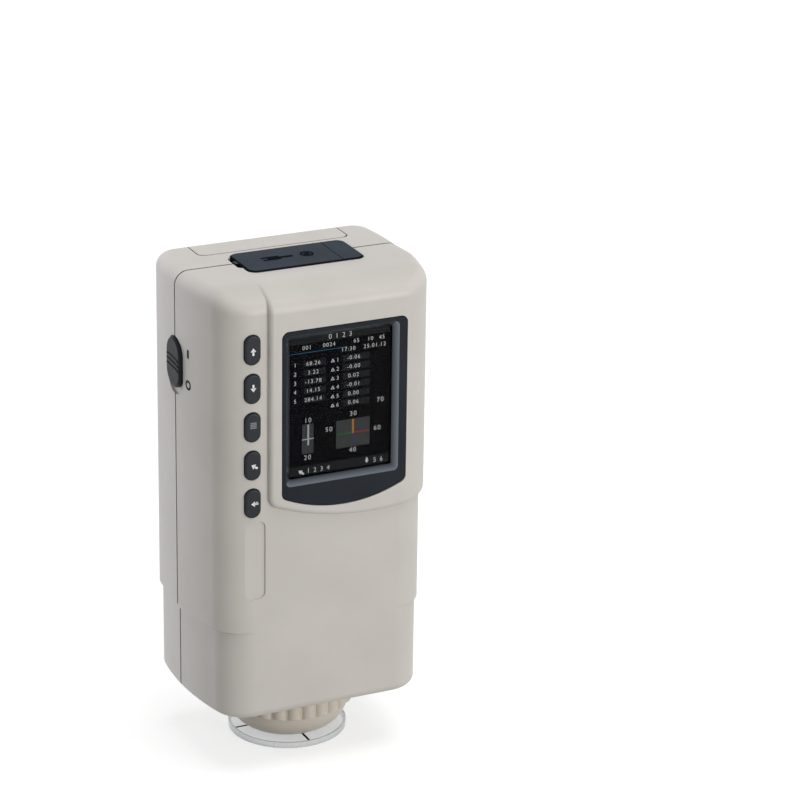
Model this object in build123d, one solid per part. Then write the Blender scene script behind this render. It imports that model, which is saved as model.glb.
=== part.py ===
from build123d import *
import os
from math import cos, radians, sin, sqrt

# Driving dimensions in millimetres.
# The origin is the centre of the ring plate's underside, the display faces -Y and +Z is up.
HALF_WIDTH = 48.0
WIDEST_Y = 2.3
FRONT_Y = -38.7
REAR_Y = 29.9
PARTING_Y = -0.8
BASE_Z = 24.7
SLEEVE_Z = 62.0
TOP_Z = 202.0
WALL = 2.5

# Shell form: bowed sides, round upright corners and a top that falls away to the front.
SIDE_BOW_R = 126.0
FRONT_CORNER_R = 13.8
REAR_CORNER_R = 9.4
TOP_EDGE_R = 5.6
FALL_START_Y = -21.8
FALL_R = 33.0
BASE_EDGE_R = 3.2
FOOT_SIDE = 1.1
FOOT_BACK = 1.6
GROOVE_W = 0.9
GROOVE_D = 0.7

# Raised cowl around the display.
COWL_LEFT = -25.0
COWL_PROUD = 2.2
COWL_SIDE = 1.9
COWL_SIDE_END_Y = -12.0
COWL_CORNER_Z = 115.5
COWL_LOW = (5.0, 107.2)
COWL_RIGHT_END = (50.0, 110.8)
COWL_CORNER_R = 5.0
COWL_EDGE_R = 1.9
COWL_FRONT_Y = FRONT_Y - COWL_PROUD

# Display: a 2.8 inch panel of 43.2 by 57.6 mm behind a bevelled frame.
SCREEN_X = 5.6
SCREEN_Z = 153.5
SCREEN_W = 43.2
SCREEN_H = 57.6
BEZEL_LEFT = -20.0
BEZEL_RIGHT = 32.8
BEZEL_TOP = 186.4
BEZEL_SIDE_END = 118.2
BEZEL_LOW = 111.9
BEZEL_T = 2.4
BEVEL_W = 2.2
BEVEL_D = 2.0
WINDOW_T = 0.6
PANEL_W = 47.0
PANEL_H = 63.0
PANEL_T = 2.6

# Keys: obround, in one column.
KEY_X = -31.4
KEY_TOP_Z = 180.4
KEY_PITCH = 15.75
KEY_W = 6.3
KEY_H = 12.0
KEY_PROUD = 1.0
KEY_GAP = 0.25
KEY_FLANGE = 1.0
KEY_NAMES = ("key_up", "key_down", "key_menu", "key_back", "key_enter")

# Power slider on the left and reading button on the right.
SLIDER_Z = 165.2
SLIDER_W = 13.6
SLIDER_H = 20.6
SLIDER_PROUD = 1.1
SLIDER_TRAVEL = 2.6
TRACK_DEPTH = 1.0
BUTTON_Y = 10.0
BUTTON_Z = 160.0
BUTTON_W = 10.0
BUTTON_H = 20.0
BUTTON_PROUD = 1.0
BUTTON_FLANGE = 1.0

# Socket cover on top, with a finger scoop at its left end.
PORT_LEFT = -21.95
PORT_RIGHT = 27.5
PORT_FRONT = -14.3
PORT_REAR = 9.9
PORT_HINGE_X = 17.5
PORT_TOP_Z = TOP_Z + 0.6
PORT_CORNER_R = 4.0
PORT_GAP = 0.4
SCOOP_Y = -0.3
SCOOP_LENGTH = 13.0

SOCKET_PLACES = (-10.0, 7.0, -1.5)

# Battery cover, which wraps over the top rear edge.
BATTERY_HALF = 32.2
BATTERY_LIP_Y = 12.4
BATTERY_LOW_Z = 132.0
BATTERY_WALL_Y = 11.6
BATTERY_WALL_T = 2.0
BATTERY_CORNER_R = 3.0
COVER_T = 2.0
COVER_GAP = 0.5

# Measuring end below the shell.
NECK_R = 20.0
APERTURE_R = 4.0
COLLAR_R = 27.0
COLLAR_LOW = 13.5
COLLAR_TOP = 24.2
FLUTES = 27
PLATE_R = 24.1
SPHERE_Z = 32.0
SPHERE_R = 15.5

# Circuit boards.
BOARD_T = 1.6
MAIN_BOARD_Y = -28.5
KEY_BOARD_Y = -31.6
BOSS_PLACES = ((-29.0, 80.0), (29.0, 80.0), (-29.0, 104.0), (29.0, 104.0))

# Long screws that close the housing from behind.
SCREW_SEAT_Y = 17.5
SCREW_TIP_Y = -10.6
CLOSING_PLACES = ((-37.0, 42.0), (37.0, 42.0), (-37.0, 190.0), (37.0, 190.0))

INNER_FRONT_Y = FRONT_Y + WALL
INNER_HALF = HALF_WIDTH - FOOT_SIDE - WALL
INNER_TOP = TOP_Z - WALL
INNER_BASE = BASE_Z + WALL


def block(x0, x1, y0, y1, z0, z1):
    """Box given by its limits."""
    centre = Pos((x0 + x1) / 2, (y0 + y1) / 2, (z0 + z1) / 2)
    return centre * Box(x1 - x0, y1 - y0, z1 - z0)


def front_prism(sketch, y0, y1):
    """Extrude a sketch drawn in X and Z between two depths."""
    return extrude(Plane.XZ.offset(-y1) * sketch, y1 - y0)


def side_prism(sketch, x0, x1):
    """Extrude a sketch drawn in Y and Z between two X positions."""
    return extrude(Plane.YZ.offset(x0) * sketch, x1 - x0)


def y_cylinder(x, z, radius, y0, y1):
    """Round bar along Y."""
    return front_prism(Pos(x, z) * Circle(radius), y0, y1)


def z_cylinder(radius, z0, z1, x=0.0, y=0.0):
    """Round bar along Z."""
    return Pos(x, y, (z0 + z1) / 2) * Cylinder(radius, z1 - z0)


def ring(inner, outer, z0, z1):
    """Flat ring around the Z axis."""
    return z_cylinder(outer, z0, z1) - z_cylinder(inner, z0 - 1, z1 + 1)


def obround(width, height):
    """Upright slot outline."""
    return SlotOverall(height, width, rotation=90)


def side_x(y, inset=0.0, side=0.0):
    """Half width of the bowed shell at one depth."""
    bow = SIDE_BOW_R - inset
    return HALF_WIDTH - inset - side - bow + sqrt(bow**2 - (y - WIDEST_Y) ** 2)


def housing_plan(inset=0.0, side=0.0, back=0.0):
    """Outline of the shell seen from above, with bowed sides."""
    front_y = FRONT_Y + inset
    rear_y = REAR_Y - inset - back
    front_x = side_x(front_y, inset, side)
    rear_x = side_x(rear_y, inset, side)
    widest = HALF_WIDTH - inset - side
    outline = [
        Line((-front_x, front_y), (front_x, front_y)),
        ThreePointArc((front_x, front_y), (widest, WIDEST_Y), (rear_x, rear_y)),
        Line((rear_x, rear_y), (-rear_x, rear_y)),
        ThreePointArc((-rear_x, rear_y), (-widest, WIDEST_Y), (-front_x, front_y)),
    ]
    face = make_face(outline)
    face = fillet(face.vertices().group_by(Axis.Y)[0], FRONT_CORNER_R - inset)
    return fillet(face.vertices().group_by(Axis.Y)[-1], REAR_CORNER_R - inset)


def below_top(fall_y, inset=0.0):
    """Everything under the top, which falls away in an arc in front of fall_y."""
    top = TOP_Z - inset
    radius = FALL_R - inset
    arc = CenterArc((fall_y, top - radius), radius, 90, 50)
    front_end = arc @ 1
    rear = REAR_Y + 10
    outline = [
        arc,
        Line(front_end, (front_end.X, 0)),
        Line((front_end.X, 0), (rear, 0)),
        Line((rear, 0), (rear, top)),
        Line((rear, top), (fall_y, top)),
    ]
    return side_prism(make_face(outline), -HALF_WIDTH - 10, HALF_WIDTH + 10)


def top_rim(solid, fall_y):
    """Edges round the top, without the seam where the fall begins."""
    rim = []
    for edge in solid.edges():
        is_high = edge.bounding_box().min.Z > TOP_Z - 14
        is_seam = abs(edge.center().Y - fall_y) < 0.01
        if is_high and not is_seam:
            rim.append(edge)
    return rim


def rounded_block(plan, bottom_z, top_z, top_r):
    """Extruded outline with its whole top rim rounded."""
    solid = extrude(Pos(0, 0, bottom_z) * plan, top_z - bottom_z)
    return fillet(solid.edges().group_by(Axis.Z)[-1], top_r)


def domed_block(plan, bottom_z, inset=0.0):
    """Extruded outline under the falling top, with its rim rounded."""
    solid = extrude(Pos(0, 0, bottom_z) * plan, TOP_Z - bottom_z) & below_top(FALL_START_Y, inset)
    return fillet(top_rim(solid, FALL_START_Y), TOP_EDGE_R - inset)


def sleeve():
    """Upper part of the shell, which stands proud of the foot."""
    solid = domed_block(housing_plan(), SLEEVE_Z)
    lower_rim = solid.edges().group_by(Axis.Z)[0]
    return fillet(lower_rim, FOOT_SIDE * 0.5)


def foot():
    """Lower part of the shell, drawn in at the sides and the back."""
    plan = housing_plan(side=FOOT_SIDE, back=FOOT_BACK)
    solid = extrude(Pos(0, 0, BASE_Z) * plan, SLEEVE_Z + 5 - BASE_Z)
    return fillet(solid.edges().group_by(Axis.Z)[0], BASE_EDGE_R)


def cowl_profile():
    """Front outline of the cowl: straight left side and a smile-shaped lower edge."""
    top = TOP_Z + 10
    right = COWL_RIGHT_END[0]
    outline = [
        ThreePointArc((COWL_LEFT, COWL_CORNER_Z), COWL_LOW, COWL_RIGHT_END),
        Line(COWL_RIGHT_END, (right, top)),
        Line((right, top), (COWL_LEFT, top)),
        Line((COWL_LEFT, top), (COWL_LEFT, COWL_CORNER_Z)),
    ]
    face = make_face(outline)
    corner = face.vertices().sort_by(Axis.Y)[0:3].sort_by(Axis.X)[0]
    return fillet(corner, COWL_CORNER_R)


def cowl_plan():
    """Outline of the cowl seen from above, running out into the shell at its right side."""
    front_x = side_x(COWL_FRONT_Y) + COWL_SIDE
    middle_y = (COWL_FRONT_Y + COWL_SIDE_END_Y) / 2
    middle = (side_x(middle_y) + COWL_SIDE, middle_y)
    side_end = (side_x(COWL_SIDE_END_Y) + COWL_SIDE, COWL_SIDE_END_Y)
    run_out = (side_x(PARTING_Y), PARTING_Y)
    outline = [
        Line((COWL_LEFT, COWL_FRONT_Y), (front_x, COWL_FRONT_Y)),
        ThreePointArc((front_x, COWL_FRONT_Y), middle, side_end),
        Line(side_end, run_out),
        Line(run_out, (COWL_LEFT, PARTING_Y)),
        Line((COWL_LEFT, PARTING_Y), (COWL_LEFT, COWL_FRONT_Y)),
    ]
    face = make_face(outline)
    corner = face.vertices().group_by(Axis.Y)[0].sort_by(Axis.X)[-1]
    return fillet(corner, FRONT_CORNER_R + COWL_PROUD)


def cowl():
    """Raised cowl that carries the display and turns round the right side."""
    bottom_z = COWL_LOW[1] - 5
    fall_y = FALL_START_Y - COWL_PROUD
    solid = extrude(Pos(0, 0, bottom_z) * cowl_plan(), TOP_Z - bottom_z) & below_top(fall_y)
    outer_rim = []
    for edge in top_rim(solid, fall_y):
        middle = edge.center()
        if middle.Y < PARTING_Y - 0.1 and middle.X > COWL_LEFT + 1:
            outer_rim.append(edge)
    solid = fillet(outer_rim, TOP_EDGE_R)
    solid = solid & front_prism(cowl_profile(), COWL_FRONT_Y - 5, REAR_Y)
    return fillet(cowl_border(solid), COWL_EDGE_R)


def cowl_border(solid):
    """Outer edges along the left side and the lower edge of the cowl."""
    border = []
    for edge in solid.edges():
        centre = edge.center()
        at_front = centre.Y < COWL_FRONT_Y + 0.1
        at_left = centre.X < COWL_LEFT + 3 and centre.Z < TOP_Z - 2 * TOP_EDGE_R
        at_low = centre.Z < COWL_CORNER_Z
        if at_front and (at_left or at_low):
            border.append(edge)
    return border


def cavity():
    """Inside of the shell."""
    return domed_block(housing_plan(WALL, FOOT_SIDE, FOOT_BACK), INNER_BASE, WALL)


def parting_groove():
    """Fine groove that runs round the shell at the parting plane."""
    slab = block(-60, 60, PARTING_Y - GROOVE_W / 2, PARTING_Y + GROOVE_W / 2, 0, TOP_Z + 10)
    core_plan = housing_plan(GROOVE_D, FOOT_SIDE, FOOT_BACK)
    core = rounded_block(core_plan, BASE_Z + GROOVE_D, SLEEVE_Z, 1)
    return slab - core - domed_block(housing_plan(GROOVE_D), SLEEVE_Z - 2, GROOVE_D)


def closing_bosses():
    """Tubes for the four long screws, front part blind and rear part counterbored."""
    front = Part()
    rear = Part()
    for x, z in CLOSING_PLACES:
        front += y_cylinder(x, z, 3.2, INNER_FRONT_Y + 3, PARTING_Y)
        rear += y_cylinder(x, z, 4.2, PARTING_Y, REAR_Y)
    return front, rear


def bezel_outline(margin=0.0):
    """Outline of the display frame, with a bowed lower edge."""
    left = BEZEL_LEFT - margin
    right = BEZEL_RIGHT + margin
    top = BEZEL_TOP + margin
    side_end = BEZEL_SIDE_END - margin
    low = ((left + right) / 2, BEZEL_LOW - margin)
    outline = [
        ThreePointArc((left, side_end), low, (right, side_end)),
        Line((right, side_end), (right, top)),
        Line((right, top), (left, top)),
        Line((left, top), (left, side_end)),
    ]
    face = make_face(outline)
    return fillet(face.vertices(), 3.0)


def key_place(index):
    """Centre of a key in X and Z."""
    return Pos(KEY_X, KEY_TOP_Z - index * KEY_PITCH)


def front_openings():
    """Everything cut through or into the front wall."""
    seat_y = COWL_FRONT_Y + BEZEL_T + 0.1
    cut = front_prism(bezel_outline(0.1), COWL_FRONT_Y - 5, seat_y)
    panel_hole = Pos(SCREEN_X, SCREEN_Z) * Rectangle(PANEL_W + 0.4, PANEL_H + 0.4)
    cut += front_prism(panel_hole, COWL_FRONT_Y - 5, INNER_FRONT_Y + 1)
    for index in range(len(KEY_NAMES)):
        hole = key_place(index) * obround(KEY_W + 2 * KEY_GAP, KEY_H + 2 * KEY_GAP)
        cut += front_prism(hole, FRONT_Y - 5, INNER_FRONT_Y + 1)
    last_key_z = KEY_TOP_Z - (len(KEY_NAMES) - 1) * KEY_PITCH
    key_reach = KEY_W / 2 + KEY_FLANGE + 1.2
    key_rise = KEY_H / 2 + KEY_FLANGE + 1.2
    cut += block(
        KEY_X - key_reach, KEY_X + key_reach, INNER_FRONT_Y, KEY_BOARD_Y - 0.3,
        last_key_z - key_rise, KEY_TOP_Z + key_rise,
    )
    recess = Pos(-30.2, 92.9) * RectangleRounded(8.4, 33.0, 3.0)
    cut += front_prism(recess, FRONT_Y - 5, FRONT_Y + 0.6)
    return cut


def port_outline(gap=0.0):
    """Rounded outline of the socket cover, seen from above."""
    width = PORT_RIGHT - PORT_LEFT - 2 * gap
    depth = PORT_REAR - PORT_FRONT - 2 * gap
    centre = Pos((PORT_LEFT + PORT_RIGHT) / 2, (PORT_FRONT + PORT_REAR) / 2)
    return centre * RectangleRounded(width, depth, PORT_CORNER_R - gap)


def top_openings():
    """Hole for the socket cover, with a finger scoop at its left end."""
    cut = extrude(Pos(0, 0, INNER_TOP - 0.1) * port_outline(), 10)
    scoop = Pos(PORT_LEFT + 0.4, SCOOP_Y) * SlotOverall(SCOOP_LENGTH, 4.0, rotation=90)
    cut += extrude(Pos(0, 0, TOP_Z - 1.6) * scoop, 10)
    return cut


def slider_track():
    """Shallow track on the left side and the slot for the slider's stem."""
    top = SLIDER_Z + SLIDER_H / 2 + 0.4
    bottom = SLIDER_Z - SLIDER_H / 2 - SLIDER_TRAVEL - 0.4
    middle = (top + bottom) / 2
    track = Pos(PARTING_Y, middle) * obround(SLIDER_W + 0.8, top - bottom)
    cut = side_prism(track, -HALF_WIDTH - 5, -HALF_WIDTH + TRACK_DEPTH)
    slot = Pos(PARTING_Y, SLIDER_Z - SLIDER_TRAVEL / 2) * Rectangle(3.2, 5.8 + SLIDER_TRAVEL)
    cut += side_prism(slot, -HALF_WIDTH - 5, -INNER_HALF + 1)
    return cut


def battery_outline(gap, low_z):
    """Upright prism of the battery cover's outline seen from above, with round front corners."""
    half = BATTERY_HALF - gap
    front = BATTERY_LIP_Y + gap
    depth = REAR_Y + 20 - front
    face = Pos(0, front + depth / 2) * Rectangle(2 * half, depth)
    face = fillet(face.vertices().group_by(Axis.Y)[0], BATTERY_CORNER_R)
    return extrude(Pos(0, 0, low_z) * face, TOP_Z + 5 - low_z)


def battery_pocket():
    """Space behind the battery cover, open at the back and the top."""
    behind_wall = block(-60, 60, BATTERY_WALL_Y + BATTERY_WALL_T, REAR_Y + 5, 0, 300)
    return battery_outline(0, BATTERY_LOW_Z) & behind_wall


def battery_walls():
    """Side walls, floor and front wall of the battery compartment."""
    outer = BATTERY_HALF + BATTERY_WALL_T
    low = BATTERY_LOW_Z - BATTERY_WALL_T
    return block(-outer, outer, BATTERY_WALL_Y, REAR_Y, low, INNER_TOP + 0.5)


def cover_lip_seat():
    """Rebate in the top wall for the lip of the battery cover."""
    return battery_outline(0, TOP_Z - COVER_T - 0.1)


def envelope():
    """Outer form of the housing without the cowl, still solid."""
    return sleeve() + foot()


def front_housing(outer):
    """Front half of the housing, with the cowl."""
    bosses, _ = closing_bosses()
    body = outer + cowl() - cavity()
    for x, z in BOSS_PLACES:
        bosses += y_cylinder(x, z, 3.0, INNER_FRONT_Y - 0.5, MAIN_BOARD_Y)
    body += bosses & outer
    body = body & block(-60, 60, -60, PARTING_Y, 0, 300)
    body -= parting_groove()
    body -= front_openings()
    body -= top_openings()
    body -= slider_track()
    body -= z_cylinder(NECK_R + 0.2, 0, INNER_BASE + 1)
    for x, z in BOSS_PLACES:
        body -= y_cylinder(x, z, 1.3, INNER_FRONT_Y + 1.2, MAIN_BOARD_Y + 1)
    for x, z in CLOSING_PLACES:
        body -= y_cylinder(x, z, 1.35, SCREW_TIP_Y - 1, PARTING_Y + 1)
    return body


def rear_housing(outer):
    """Rear half of the housing, with the battery compartment."""
    _, bosses = closing_bosses()
    body = outer - cavity()
    body += (battery_walls() + bosses) & outer
    body = body & block(-60, 60, PARTING_Y, 60, 0, 300)
    body -= parting_groove()
    body -= top_openings()
    body -= slider_track()
    body -= battery_pocket()
    body -= cover_lip_seat()
    body -= z_cylinder(NECK_R + 0.2, 0, INNER_BASE + 1)
    button_hole = Pos(BUTTON_Y, BUTTON_Z) * obround(BUTTON_W + 0.5, BUTTON_H + 0.5)
    body -= side_prism(button_hole, INNER_HALF - 2, HALF_WIDTH + 5)
    for x, z in CLOSING_PLACES:
        body -= y_cylinder(x, z, 1.5, PARTING_Y - 1, REAR_Y + 5)
        body -= y_cylinder(x, z, 2.9, SCREW_SEAT_Y, REAR_Y + 5)
    return body


def bezel_bevel(front_y):
    """Tapered cutter for the bevelled edge round the screen."""
    wide = RectangleRounded(SCREEN_W + 2 * BEVEL_W, SCREEN_H + 2 * BEVEL_W, 2.0)
    narrow = RectangleRounded(SCREEN_W, SCREEN_H, 0.5)
    place = Pos(SCREEN_X, SCREEN_Z)
    near = Plane.XZ.offset(-front_y) * (place * wide)
    far = Plane.XZ.offset(-front_y - BEVEL_D) * (place * narrow)
    return loft([near, far])


def display_bezel():
    """Dark frame with a bevelled opening around the screen."""
    front_y = COWL_FRONT_Y + 0.1
    back_y = front_y + BEZEL_T
    plate = front_prism(bezel_outline(), front_y, back_y)
    plate = chamfer(plate.edges().group_by(Axis.Y)[0], 0.3)
    opening = Pos(SCREEN_X, SCREEN_Z) * RectangleRounded(SCREEN_W, SCREEN_H, 0.5)
    plate -= front_prism(opening, front_y - 1, back_y + 1)
    plate -= bezel_bevel(front_y)
    return plate


def screen_slab(width, height, y0, y1):
    """Flat slab centred on the screen."""
    return front_prism(Pos(SCREEN_X, SCREEN_Z) * Rectangle(width, height), y0, y1)


def display_window():
    """Clear pane between the frame and the panel."""
    y0 = COWL_FRONT_Y + 0.1 + BEZEL_T
    return screen_slab(PANEL_W, PANEL_H, y0, y0 + WINDOW_T)


def lcd_panel():
    """Display panel."""
    y0 = COWL_FRONT_Y + 0.1 + BEZEL_T + WINDOW_T
    return screen_slab(PANEL_W, PANEL_H, y0, y0 + PANEL_T)


def lcd_frame():
    """Metal tray behind the panel with four legs down to the main board."""
    y0 = COWL_FRONT_Y + 0.1 + BEZEL_T + WINDOW_T + PANEL_T
    y1 = y0 + 0.8
    plate = screen_slab(PANEL_W, PANEL_H, y0, y1)
    plate -= screen_slab(PANEL_W - 14, PANEL_H - 14, y0 - 1, y1 + 1)
    for side in (-1, 1):
        for level in (-1, 1):
            x = SCREEN_X + side * (PANEL_W / 2 - 4)
            z = SCREEN_Z + level * (PANEL_H / 2 - 4)
            plate += y_cylinder(x, z, 2.0, y1 - 0.2, MAIN_BOARD_Y)
    return plate


def key(index):
    """Obround key with a rounded face and a flange behind the wall."""
    place = key_place(index)
    face_y = FRONT_Y - KEY_PROUD
    flange_y = INNER_FRONT_Y + 0.05
    stem = front_prism(place * obround(KEY_W, KEY_H), face_y, flange_y + 1.2)
    stem = fillet(stem.edges().group_by(Axis.Y)[0], 0.7)
    outline = obround(KEY_W + 2 * KEY_FLANGE, KEY_H + 2 * KEY_FLANGE)
    flange = front_prism(place * outline, flange_y, flange_y + 1.0)
    return stem + flange


def key_board():
    """Narrow circuit board behind the column of keys."""
    low = KEY_TOP_Z - (len(KEY_NAMES) - 1) * KEY_PITCH - 8
    high = KEY_TOP_Z + 5.4
    return block(KEY_X - 3.8, KEY_X + 5.6, KEY_BOARD_Y, KEY_BOARD_Y + BOARD_T, low, high)


def tact_switch(x, z, back_y, tip_y):
    """Small square switch with a round plunger that points to the front."""
    body_y = back_y - 1.4
    body = block(x - 2.3, x + 2.3, body_y, back_y, z - 2.3, z + 2.3)
    return body + y_cylinder(x, z, 1.1, tip_y, body_y + 0.2)


def key_switches():
    """One switch behind each key."""
    key_back = INNER_FRONT_Y + 0.05 + 1.2
    switches = []
    for index in range(len(KEY_NAMES)):
        z = KEY_TOP_Z - index * KEY_PITCH
        switches.append(tact_switch(KEY_X, z, KEY_BOARD_Y, key_back + 0.9))
    return Compound(children=switches)


def main_board():
    """Main circuit board with a cut-out corner and four screw holes."""
    y1 = MAIN_BOARD_Y + BOARD_T
    board = block(-33.0, 33.0, MAIN_BOARD_Y, y1, 75.0, 188.0)
    board -= block(-40.0, -29.0, MAIN_BOARD_Y - 1, y1 + 1, 160.0, 200.0)
    for x, z in BOSS_PLACES:
        board -= y_cylinder(x, z, 1.4, MAIN_BOARD_Y - 1, y1 + 1)
    return board


def screw_along_y(x, z, head_y, head_r, head_h, shank_r, tip_y):
    """Pan-head screw whose head faces the rear."""
    head = y_cylinder(x, z, head_r, head_y, head_y + head_h)
    head = fillet(head.edges().group_by(Axis.Y)[-1], head_h * 0.4)
    slot = block(x - 0.3, x + 0.3, head_y + head_h * 0.5, head_y + head_h + 1, z - 1.6, z + 1.6)
    cross = block(x - 1.6, x + 1.6, head_y + head_h * 0.5, head_y + head_h + 1, z - 0.3, z + 0.3)
    return head + y_cylinder(x, z, shank_r, tip_y, head_y + 0.1) - slot - cross


def board_screws():
    """Four screws that hold the main board."""
    head_y = MAIN_BOARD_Y + BOARD_T
    tip_y = INNER_FRONT_Y + 2.2
    screws = [screw_along_y(x, z, head_y, 2.4, 1.6, 1.2, tip_y) for x, z in BOSS_PLACES]
    return Compound(children=screws)


def housing_screws():
    """Four long screws that close the housing from behind."""
    screws = []
    for x, z in CLOSING_PLACES:
        screws.append(screw_along_y(x, z, SCREW_SEAT_Y, 2.6, 2.0, 1.3, SCREW_TIP_Y))
    return Compound(children=screws)


def buzzer():
    """Round sounder on the main board with a hole in its middle."""
    y0 = MAIN_BOARD_Y + BOARD_T
    return y_cylinder(18.0, 92.0, 6.0, y0, y0 + 5) - y_cylinder(18.0, 92.0, 1.0, y0 + 3, y0 + 6)


def power_slider():
    """Oval knob with a domed face, three slanted ribs and a stem."""
    face_x = -HALF_WIDTH - SLIDER_PROUD
    base_x = -HALF_WIDTH + TRACK_DEPTH - 0.25
    place = Pos(PARTING_Y, SLIDER_Z)
    knob = side_prism(place * obround(SLIDER_W, SLIDER_H), face_x, base_x)
    knob = fillet(knob.edges().group_by(Axis.X)[0], 1.0)
    outline = side_prism(place * obround(SLIDER_W - 1.4, SLIDER_H - 1.4), face_x - 2, base_x)
    ribs = Part()
    for level in (-1, 0, 1):
        rib = Pos(PARTING_Y, SLIDER_Z + level * 2.4) * SlotOverall(SLIDER_W + 3, 1.1, rotation=32)
        ribs += side_prism(rib, face_x - 0.35, base_x - 0.5)
    stem = block(base_x - 0.2, -INNER_HALF + 2.0, PARTING_Y - 1.2, PARTING_Y + 1.2,
                 SLIDER_Z - 2.5, SLIDER_Z + 2.5)
    return knob + (ribs & outline) + stem


def power_switch():
    """Slide switch behind the left wall, grooved for the slider's stem."""
    x0 = -INNER_HALF + 0.4
    middle = SLIDER_Z - SLIDER_TRAVEL / 2
    body = block(x0, x0 + 5.5, PARTING_Y - 4.5, PARTING_Y + 4.5, middle - 9, middle + 9)
    groove = block(x0 - 1, x0 + 2.4, PARTING_Y - 1.6, PARTING_Y + 1.6, middle - 4.3, middle + 4.3)
    return body - groove


def button_seat_x():
    """Where the button's flange lies against the inside of the bowed wall."""
    flange_end_y = BUTTON_Y + BUTTON_W / 2 + BUTTON_FLANGE
    return side_x(flange_end_y, WALL, FOOT_SIDE) - 0.05


def measure_button():
    """Button on the right side that starts a reading."""
    place = Pos(BUTTON_Y, BUTTON_Z)
    face_x = side_x(BUTTON_Y) + BUTTON_PROUD
    flange_x = button_seat_x()
    stem = side_prism(place * obround(BUTTON_W, BUTTON_H), flange_x - 1.2, face_x)
    stem = fillet(stem.edges().group_by(Axis.X)[-1], 0.8)
    outline = obround(BUTTON_W + 2 * BUTTON_FLANGE, BUTTON_H + 2 * BUTTON_FLANGE)
    flange = side_prism(place * outline, flange_x - 1.0, flange_x)
    return stem + flange


def measure_switch():
    """Switch between the battery compartment and the reading button."""
    x0 = BATTERY_HALF + BATTERY_WALL_T
    body = block(x0, x0 + 5.0, BUTTON_Y - 4, BUTTON_Y + 4, BUTTON_Z - 4, BUTTON_Z + 4)
    tip_x = button_seat_x() - 1.2 - 0.95
    plunger = side_prism(Pos(BUTTON_Y, BUTTON_Z) * Circle(1.8), x0 + 4.8, tip_x)
    return body + plunger


def port_tray():
    """Tray below the socket cover with two socket holes."""
    z1 = INNER_TOP
    tray = block(PORT_LEFT - 2, PORT_RIGHT + 2, PORT_FRONT - 2, BATTERY_WALL_Y, z1 - 8, z1)
    well = block(PORT_LEFT + 0.4, PORT_HINGE_X - 0.5, PORT_FRONT + 0.5, PORT_REAR - 1.5, z1 - 5, z1 + 1)
    tray -= well
    usb_x, dc_x, socket_y = SOCKET_PLACES
    tray -= block(usb_x - 4.2, usb_x + 4.2, socket_y - 2.2, socket_y + 2.2, z1 - 9, z1)
    tray -= z_cylinder(3.6, z1 - 9, z1, dc_x, socket_y)
    return tray


def usb_socket():
    """Small metal data socket that faces up."""
    usb_x, _, y = SOCKET_PLACES
    z1 = INNER_TOP - 3.6
    body = block(usb_x - 4.0, usb_x + 4.0, y - 2.0, y + 2.0, z1 - 9, z1)
    body = chamfer(body.edges().filter_by(Axis.Z), 0.7)
    hollow = block(usb_x - 3.4, usb_x + 3.4, y - 1.4, y + 1.4, z1 - 6, z1 + 1)
    tongue = block(usb_x - 2.6, usb_x + 2.6, y - 0.3, y + 0.3, z1 - 6.2, z1 - 1)
    return body - hollow + tongue


def dc_socket():
    """Round charging socket with a centre pin."""
    _, dc_x, y = SOCKET_PLACES
    z1 = INNER_TOP - 3.6
    body = z_cylinder(3.4, z1 - 9, z1, dc_x, y) - z_cylinder(2.6, z1 - 6, z1 + 1, dc_x, y)
    return body + z_cylinder(0.6, z1 - 6.2, z1 - 1, dc_x, y)


def cover_slab():
    """Whole form of the socket cover before it is divided."""
    slab = extrude(Pos(0, 0, INNER_TOP + 0.1) * port_outline(PORT_GAP), PORT_TOP_Z - INNER_TOP - 0.1)
    return fillet(slab.edges().group_by(Axis.Z)[-1], 0.8)


def port_cover():
    """Flap of the socket cover, with a lip that drops into the tray."""
    flap = cover_slab() & block(-60, PORT_HINGE_X, -60, 60, 0, 300)
    rear_edge = PORT_HINGE_X - 4
    lip = block(PORT_LEFT + 6, rear_edge, PORT_FRONT + 2.5, PORT_REAR - 3.5, INNER_TOP - 0.9, INNER_TOP + 0.2)
    tab = block(PORT_LEFT - 1.2, PORT_LEFT + 2, SCOOP_Y - 1.6, SCOOP_Y + 1.6, TOP_Z - 1.2, TOP_Z + 0.2)
    return flap + lip + fillet(tab.edges().filter_by(Axis.Z), 0.5)


def port_cover_anchor():
    """Fixed end of the socket cover."""
    return cover_slab() & block(PORT_HINGE_X + 0.3, 60, -60, 60, 0, 300)


def battery_cover(outer):
    """Cover over the battery, curved over the top rear edge, with a ribbed grip."""
    low = BATTERY_LOW_Z + COVER_GAP
    region = battery_outline(COVER_GAP, low)
    core = rounded_block(housing_plan(COVER_T), 90, TOP_Z - COVER_T, TOP_EDGE_R - COVER_T)
    cover = (outer & region) - core
    for level in range(5):
        z = BATTERY_LOW_Z + 14 + level * 3.2
        groove = Pos(0, z) * SlotOverall(22.0 - level * 3.0, 1.2)
        cover -= front_prism(groove, REAR_Y - 0.6, REAR_Y + 2)
    return cover


def battery_pack():
    """Flat lithium pack with rounded long edges."""
    front = BATTERY_WALL_Y + BATTERY_WALL_T + 0.4
    pack = block(-28.0, 28.0, front, REAR_Y - COVER_T - 0.6, 136.5, 194.0)
    return fillet(pack.edges().filter_by(Axis.Z), 3.0)


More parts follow.
